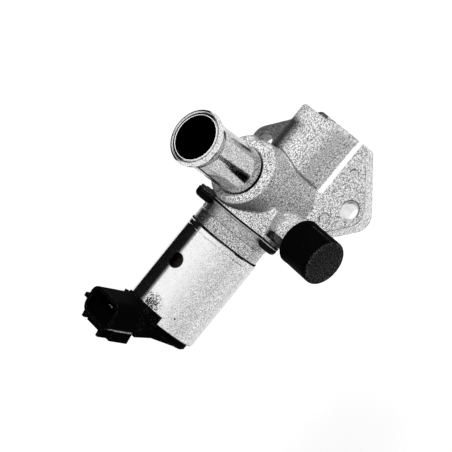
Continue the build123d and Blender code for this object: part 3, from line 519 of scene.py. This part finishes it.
# Joint gasket: a thin black fibre sheet, cut to the outline of the joint with its three ears and
# squeezed between casting and solenoid.
fibre_sheet, tree, shader, place = start_finish("gasket_fibre")
strands = grain(tree, stretched(tree, place, (1, 1, 0.3)), period=0.0006, detail=4.0)
shader.inputs["Specular IOR Level"].default_value = 0.1
lay_on(tree, shader, shades(tree, strands, (0.3, 0.002), (0.75, 0.012)),
       shades(tree, strands, (0.3, 0.75), (0.7, 0.9)), strands, depth=0.00005)
dress(fibre_sheet, "joint_gasket")

# Solenoid flange and front pole plate: a die-cast ring with thin ears, and the turned steel plate
# that closes the front of the can, with tool lines round the valve's axis. The flange carries
# painted shade next to the gasket and on its far ear.
ring_metal, tree, shader, place = start_finish("turned_steel")
lines = grain(tree, stretched(tree, place, (1, 0.02, 0.02)), period=0.0004)
specks = grain(tree, place, period=0.00045, detail=1.0)
colour = joined(tree, shades(tree, specks, (0.4, 0.12), (0.5, 0.46), (0.6, 0.8)),
                shades(tree, lines, (0.3, 0.85), (0.7, 1.0)))
colour = covered(tree, colour, 0.92, edges(tree, width=0.0003))
shader.inputs["Metallic"].default_value = 0.95
lay_on(tree, shader, colour, shades(tree, lines, (0.3, 0.2), (0.7, 0.3)), lines, depth=0.00002)
dress(ring_metal, "front_pole_plate")

flange_metal, tree, shader, place = start_finish("flange_casting")
length, across, upward = (part_of(tree, place, axis) for axis in "XYZ")
fine = grain(tree, place, period=0.00045, detail=1.0)
patches = grain(tree, place, period=0.004, detail=3.0)
colour = joined(tree, shades(tree, fine, (0.37, 0.16), (0.5, 0.44), (0.63, 0.72)),
                shades(tree, patches, (0.3, 0.75), (0.7, 1.0)))
# Painted shade next to the gasket and on the far ear
gasket_shade = rise(tree, length, joint_x + 0.0010, joint_x + 0.0008)
far_ear_shade = patch(tree, (across, -0.003, -0.005), (upward, 0.0365, 0.0380))
for coat, where in ((0.85, edges(tree, width=0.0003)), (0.01, gasket_shade), (0.005, far_ear_shade)):
    colour = covered(tree, colour, coat, where)
shader.inputs["Metallic"].default_value = 0.85
lay_on(tree, shader, colour, shades(tree, fine, (0.3, 0.42), (0.7, 0.28)), fine, depth=0.00005)
dress(flange_metal, "solenoid_flange")


# Joint screws: three pan heads with cross recesses, of black-oxide steel, driven from the solenoid
# side through flange and gasket into the casting's lugs. Their rolled threads stand out behind the
# lugs.
def fade(value, low, high):
    """A smooth step as an array: 0 at low and 1 at high, as 3u^2 - 2u^3 between them."""
    u = np.clip((value - low) / (high - low), 0, 1)
    return u * u * (3 - 2 * u)


low, high = (np.array(corner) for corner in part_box("joint_screws"))
tip_x, head_x, top_x = low[0], high[0] - 0.0027, high[0]
screw_r, head_r, head_dome, circle_r = 0.0020, 0.0042, 0.0019, 0.0192
pitch, thread_depth, point, under_head = 0.0007, 0.00032, 0.0005, 0.0001
wing_half_l, wing_half_w, recess_depth, recess_taper = 0.0021, 0.0005, 0.0014, 0.35
around, tip_rows, shank_rows, plain_rows, crown_rows = 120, 2, 57, 4, 26
shank = np.linspace(tip_x + point, head_x - under_head, shank_rows)
crown_r = np.linspace(head_r - head_dome - 0.00005, 0.00004, crown_rows)
screw_profile = np.concatenate([
    [(tip_x, 0.0003), (tip_x, screw_r - point)],
    np.stack([shank, np.full_like(shank, screw_r)], axis=1),
    [(head_x, screw_r), (head_x, head_r - under_head), (head_x + under_head, head_r)],
    bend((top_x - head_dome, head_r - head_dome), head_dome, 90, 0, 12),
    np.stack([np.full_like(crown_r, top_x), crown_r], axis=1),
])
oxide, tree, shader, place = start_finish("black_oxide")
stain_and_painted_shade = grain(tree, place, period=0.0008, detail=3.0)
rubbed = all_of(tree, edges(tree, width=0.0003), rise(tree, stain_and_painted_shade, 0.4, 0.65))
colour = covered(tree, shades(tree, stain_and_painted_shade, (0.3, 0.001), (0.6, 0.003), (0.78, 0.02)), 0.14, rubbed)
shader.inputs["Specular IOR Level"].default_value = 0.05
lay_on(tree, shader, colour, shades(tree, stain_and_painted_shade, (0.3, 0.5), (0.7, 0.65)), stain_and_painted_shade, depth=0.00002)

# The shank is cut in along its spokes by a thread, |2 frac(x / pitch - turn) - 1| of its depth, and
# the crown is sunk by a cross of two wings that grows shallower outwards
row, at_x, far = np.arange(len(screw_profile))[:, None], screw_profile[:, :1], screw_profile[:, 1:]
turn = np.linspace(0, 1, around, endpoint=False)
on_shank = (row >= tip_rows) & (row < tip_rows + shank_rows - plain_rows)
thread = np.where(on_shank, thread_depth * np.abs(2 * ((at_x / pitch - turn) % 1) - 1) / screw_r, 0)
on_crown = row >= len(screw_profile) - crown_rows
sunk = np.where(on_crown, recess_depth * (1 - recess_taper * far / wing_half_l), 0)
for number, (clock, drive) in enumerate(((0.0, 25.0), (120.0, 70.0), (240.0, 10.0)), start=1):
    seat_angle, drive_angle = np.radians(clock), 2 * np.pi * turn + np.radians(drive)
    centre = (0, circle_r * np.cos(seat_angle), axis_z + circle_r * np.sin(seat_angle))
    grid = spun(screw_profile, centre, (1, 0, 0), (0, 1, 0), around)
    spoke = grid - grid.mean(axis=1, keepdims=True)
    u, v = far * np.cos(drive_angle), far * np.sin(drive_angle)
    wings = [(1 - fade(np.abs(a), wing_half_w - 0.00006, wing_half_w + 0.00008))
             * (1 - fade(np.abs(b), wing_half_l - 0.0002, wing_half_l + 0.00005))
             for a, b in ((u, v), (v, u))]
    grid[..., 0] -= sunk * np.maximum(*wings)
    grid -= spoke * thread[..., None]
    skinned(f"joint_screw_{number}", grid, False, oxide, "black_steel", "housing", "joint_screws")

# Solenoid can: a deep-drawn steel cup, bright tin plated, its rear lip crimped over the connector
# cover and a round window punched in its top. It is pale and even, with painted shade on its near
# side, beside the connector, along its rear edge, round the window and on its inner wall, and one
# small dark spot.
can_x, can_end_x = (corner[0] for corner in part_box("solenoid_can"))
window_x, window_r, can_in_r = can_x + 0.0171, 0.003, 0.0166
from_point, round_valve = (1, 1, 1), (0, 1, 1)
drawn_can, tree, shader, place = start_finish("bright_tin")
length, across, upward = (part_of(tree, place, axis) for axis in "XYZ")
cloud = grain(tree, place, period=0.006, detail=3.0)
specks = grain(tree, place, period=0.0005, roughness=0.75)
drawn = grain(tree, stretched(tree, place, (0.02, 1, 1)), period=0.0003, detail=1.0)
dust_and_painted_light = grain(tree, place, period=0.0004, detail=1.0)
tin = joined(tree, shades(tree, specks, (0.3, 0.94), (0.6, 1.0)),
             shades(tree, cloud, (0.3, 0.95), (0.7, 1.0)))
tin = joined(tree, tin, shades(tree, drawn, (0.3, 0.95), (0.7, 1.0)))
# Painted shade, speckled, darker towards the near side
tin = covered(tree, tin, shades(tree, dust_and_painted_light, (0.36, 0.3), (0.5, 0.64), (0.64, 0.92)),
              rise(tree, across, 0.0045, 0.0165))
# Painted shade beside the connector, along the rear edge and round the window, and a small dark
# spot
by_connector_shade = rise(tree, from_line(tree, place, (0.0797, 0.0038, 0.0384), from_point), 0.0072, 0.0)
connector_shade = rise(tree, combined(tree, by_connector_shade, rise(tree, specks, 0.36, 0.64), "ADD"), 0.78, 1.32)
spot = rise(tree, from_line(tree, place, (0.0782, 0.0136, 0.0320), from_point), 0.0005, 0.0003)
rear_edge = rise(tree, length, can_end_x - 0.0008, can_end_x - 0.0005)
off_window = from_line(tree, place, (window_x, 0.0004, 0), in_plan)
window_rim = patch(tree, (off_window, window_r + 0.0005, window_r + 0.0003),
                   (upward, axis_z, axis_z + 0.001))
tin = covered(tree, tin, 0.015, any_of(tree, connector_shade, spot, rear_edge, window_rim))
# Painted shade on the inner wall
off_axis = from_line(tree, place, (0, 0, axis_z), round_valve)
inner_wall = rise(tree, off_axis, can_in_r, can_in_r - 0.0003)
tin = covered(tree, tin, 0.06, inner_wall)
shader.inputs["Metallic"].default_value = 1.0
lay_on(tree, shader, tin, shades(tree, cloud, (0.3, 0.08), (0.7, 0.13)), specks, depth=0.000006)
dress(drawn_can, "solenoid_can")

# Coil: enamelled copper wire in neat layers on a glass-filled plastic bobbin, its colour painted
# near black for the shade behind the can's window. Each turn of its outer layer stands out in a
# half circle, sqrt(1 - (2 phase - 1)^2).
low, high = (np.array(corner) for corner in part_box("coil_winding"))
coil_x, coil_end_x, coil_r = low[0], high[0], (high[1] - low[1]) / 2
coil_bore, wire, rows_each = 0.00922, 0.00055, 6
turns = int((coil_end_x - coil_x) / wire)
phase = np.linspace(0, turns, turns * rows_each + 1)
stands_out = np.sqrt(1 - (2 * (phase % 1) - 1) ** 2)
along_coil = np.linspace(coil_x, coil_end_x, len(phase))
outer_layer = np.stack([along_coil, coil_r - wire / 2 * (1 - stands_out)], axis=1)
coil_profile = np.concatenate([outer_layer, [(coil_end_x, coil_bore), (coil_x, coil_bore)]])
enamel, tree, shader, place = start_finish("enamelled_copper")
shade = grain(tree, stretched(tree, place, (1, 0.2, 0.2)), period=0.0006)
# The wire's colour is painted near black for the shade it lies in
colour = shades(tree, shade, (0.3, (0.0015, 0.001, 0.0008)), (0.7, (0.005, 0.0026, 0.0018)))
shader.inputs["Metallic"].default_value = 0.4
lay_on(tree, shader, colour, shades(tree, shade, (0.3, 0.3), (0.7, 0.45)), shade, depth=0.00002)
coil_points = spun(coil_profile, (0, 0, axis_z), (1, 0, 0), (0, 1, 0), steps=72)
skinned("wound_coil", coil_points, True, enamel, "copper_wire", "housing", "coil_winding")

bobbin, tree, shader, place = start_finish("bobbin_plastic")
flow = grain(tree, place, period=0.002, detail=4.0)
colour = shades(tree, flow, (0.3, (0.03, 0.028, 0.026)), (0.7, (0.06, 0.055, 0.05)))
lay_on(tree, shader, colour, shades(tree, flow, (0.3, 0.45), (0.7, 0.6)), flow, depth=0.00002)
dress(bobbin, "coil_bobbin")

# Connector cover: one black plastic moulding, the end cover of the can and the plug socket in one
# piece. Its skin is fine-textured, its edges are rubbed a little lighter, and one corner of the
# leaning socket carries a painted highlight.
plastic, tree, shader, place = start_finish("black_plastic")
skin = grain(tree, place, period=0.0005, roughness=0.7)
rubbed = all_of(tree, edges(tree, width=0.0004), rise(tree, skin, 0.42, 0.65))
socket_x, socket_lean = 0.0834, np.radians(14)
leaning = tree.nodes.new("ShaderNodeMapping")
leaning.vector_type = "TEXTURE"
leaning.inputs["Location"].default_value = (socket_x, 0, axis_z)
leaning.inputs["Rotation"].default_value = (0, socket_lean, 0)
tree.links.new(place, leaning.inputs["Vector"])
outward, across, upward = (part_of(tree, leaning.outputs["Vector"], axis) for axis in "XYZ")
to_corner = combined(tree, outward, across, "ADD")
# A painted highlight along one rounded corner of the socket
corner_highlight = patch(tree, (to_corner, 0.01294, 0.01306), (upward, 0.0205, 0.0215),
                      (outward, 0.0056, 0.0054), (upward, 0.0350, 0.0340), (skin, 0.38, 0.5))
specked = patch(tree, (across, 0.005, 0.007), (upward, 0.012, 0.015), (upward, 0.024, 0.021),
                (skin, 0.64, 0.7))
colour = shades(tree, skin, (0.35, 0.0006), (0.6, 0.0016), (0.75, 0.006))
for coat, where in ((0.05, rubbed), (0.1, specked), (0.85, corner_highlight)):
    colour = covered(tree, colour, coat, where)
shader.inputs["Specular IOR Level"].default_value = 0.03
shader.inputs["IOR"].default_value = 1.15
lay_on(tree, shader, colour, shades(tree, skin, (0.3, 0.5), (0.7, 0.66)), skin, depth=0.00002)
dress(plastic, "connector_cover")

# Terminals: two flat blades of tin-plated brass, pressed into the socket's floor. They are cut from
# rolled strip, so their fine marks run up the blades.
rolled_lines = (1, 1, 0.05)
dress(bare_metal("tin_plate", (0.6, 0.6, 0.58), (0.74, 0.74, 0.72), rolled_lines, rough=0.22),
      "terminals")


# Stage: a pale floor well below the part, which hangs by its mount, black cards for the can and the
# tube to reflect, one soft lamp, a white surround and the camera.
def flat_card(name, corners, finish):
    """A four-cornered sheet of the stage."""
    mesh = bpy.data.meshes.new(name)
    mesh.from_pydata(corners, [], [(0, 1, 2, 3)])
    mesh.materials.append(finish)
    card = bpy.data.objects.new(name, mesh)
    bpy.context.scene.collection.objects.link(card)
    return card


def shining(tree, kind, grey=1.0, strength=None):
    """A plain shader of the stage, of one grey and, where it gives light, one strength."""
    node = tree.nodes.new(kind)
    node.inputs["Color"].default_value = (grey, grey, grey, 1)
    if strength is not None:
        node.inputs["Strength"].default_value = strength
    return node.outputs[0]


def seen_white(tree, lit, glow):
    """Mixes two shaders: glow for what the camera, a reflection or a view through glass shows, and
    else lit."""
    path = tree.nodes.new("ShaderNodeLightPath").outputs
    seen = any_of(tree, path["Is Camera Ray"], path["Is Glossy Ray"], path["Is Transmission Ray"])
    mix = tree.nodes.new("ShaderNodeMixShader")
    tree.links.new(seen, mix.inputs[0])
    tree.links.new(lit, mix.inputs[1])
    tree.links.new(glow, mix.inputs[2])
    return mix.outputs[0]


reach, floor_z = 6.0, -0.30
paper = bpy.data.materials.new("floor_paper")
paper.use_nodes = True
tree = paper.node_tree
tree.nodes.clear()
matt = shining(tree, "ShaderNodeBsdfDiffuse", grey=0.85)
veiled = tree.nodes.new("ShaderNodeAddShader")
tree.links.new(shining(tree, "ShaderNodeBsdfDiffuse", grey=0.35), veiled.inputs[0])
tree.links.new(shining(tree, "ShaderNodeEmission", strength=0.85), veiled.inputs[1])
out = tree.nodes.new("ShaderNodeOutputMaterial")
tree.links.new(seen_white(tree, matt, veiled.outputs[0]), out.inputs["Surface"])
flat_card("floor", [(-reach, -reach, floor_z), (reach, -reach, floor_z), (reach, reach, floor_z),
                    (-reach, reach, floor_z)], paper)

cloth, tree, shader, place = start_finish("black_card")
shader.inputs["Base Color"].default_value = (0.01, 0.01, 0.01, 1)
shader.inputs["Specular IOR Level"].default_value = 0.0
shader.inputs["Emission Color"].default_value = (1, 1, 1, 1)
tree.links.new(rise(tree, part_of(tree, place, "Z"), 0.46, 0.8), shader.inputs["Emission Strength"])
for name, corners in (
    ("side_card", [(-0.4, -0.5, -0.1), (0.6, -0.5, -0.1), (0.6, -0.5, 0.8), (-0.4, -0.5, 0.8)]),
    ("low_card", [(0.006, 0.158, -0.1), (-0.015, 0.123, -0.1), (0.047, 0.117, -0.1),
                  (0.05, 0.152, -0.1)]),
):
    card = flat_card(name, corners, cloth)
    card.visible_camera = False
    card.visible_diffuse = False

world = bpy.data.worlds.new("white_surround")
bpy.context.scene.world = world
world.use_nodes = True
tree = world.node_tree
tree.nodes.clear()
out = tree.nodes.new("ShaderNodeOutputWorld")
dim = shining(tree, "ShaderNodeBackground", strength=0.2)
white = shining(tree, "ShaderNodeBackground", strength=1.0)
tree.links.new(seen_white(tree, dim, white), out.inputs["Surface"])

lamp_aim, lamp_far = Vector((0.032, 0.0, 0.03)), 0.9
lamp_way = Vector((-0.32, 0.27, 0.9)).normalized()
light = bpy.data.lights.new("key", "AREA")
light.size = 0.25
light.energy = 8.0
lamp = bpy.data.objects.new("key", light)
lamp.location = lamp_aim + lamp_way * lamp_far
lamp.visible_glossy = False
lamp.rotation_mode = "QUATERNION"
lamp.rotation_quaternion = (-lamp_way).to_track_quat("-Z", "Y")
bpy.context.scene.collection.objects.link(lamp)

camera_at = (-0.01687, 0.50786, 0.66700)
right, back = Vector((-0.6283, 0.583, -0.5151)), Vector((-0.0653, 0.6203, 0.7817)).normalized()
right = (right - back * right.dot(back)).normalized()
camera_turn = Matrix((right, back.cross(right), back)).transposed().to_4x4()
lens = bpy.data.cameras.new("camera")
lens.sensor_fit = "HORIZONTAL"
lens.sensor_width = 36.0
lens.lens = 159.29
camera = bpy.data.objects.new("camera", lens)
camera.matrix_world = Matrix.Translation(camera_at) @ camera_turn
bpy.context.scene.collection.objects.link(camera)
bpy.context.scene.camera = camera
bpy.context.scene.view_settings.view_transform = "Standard"
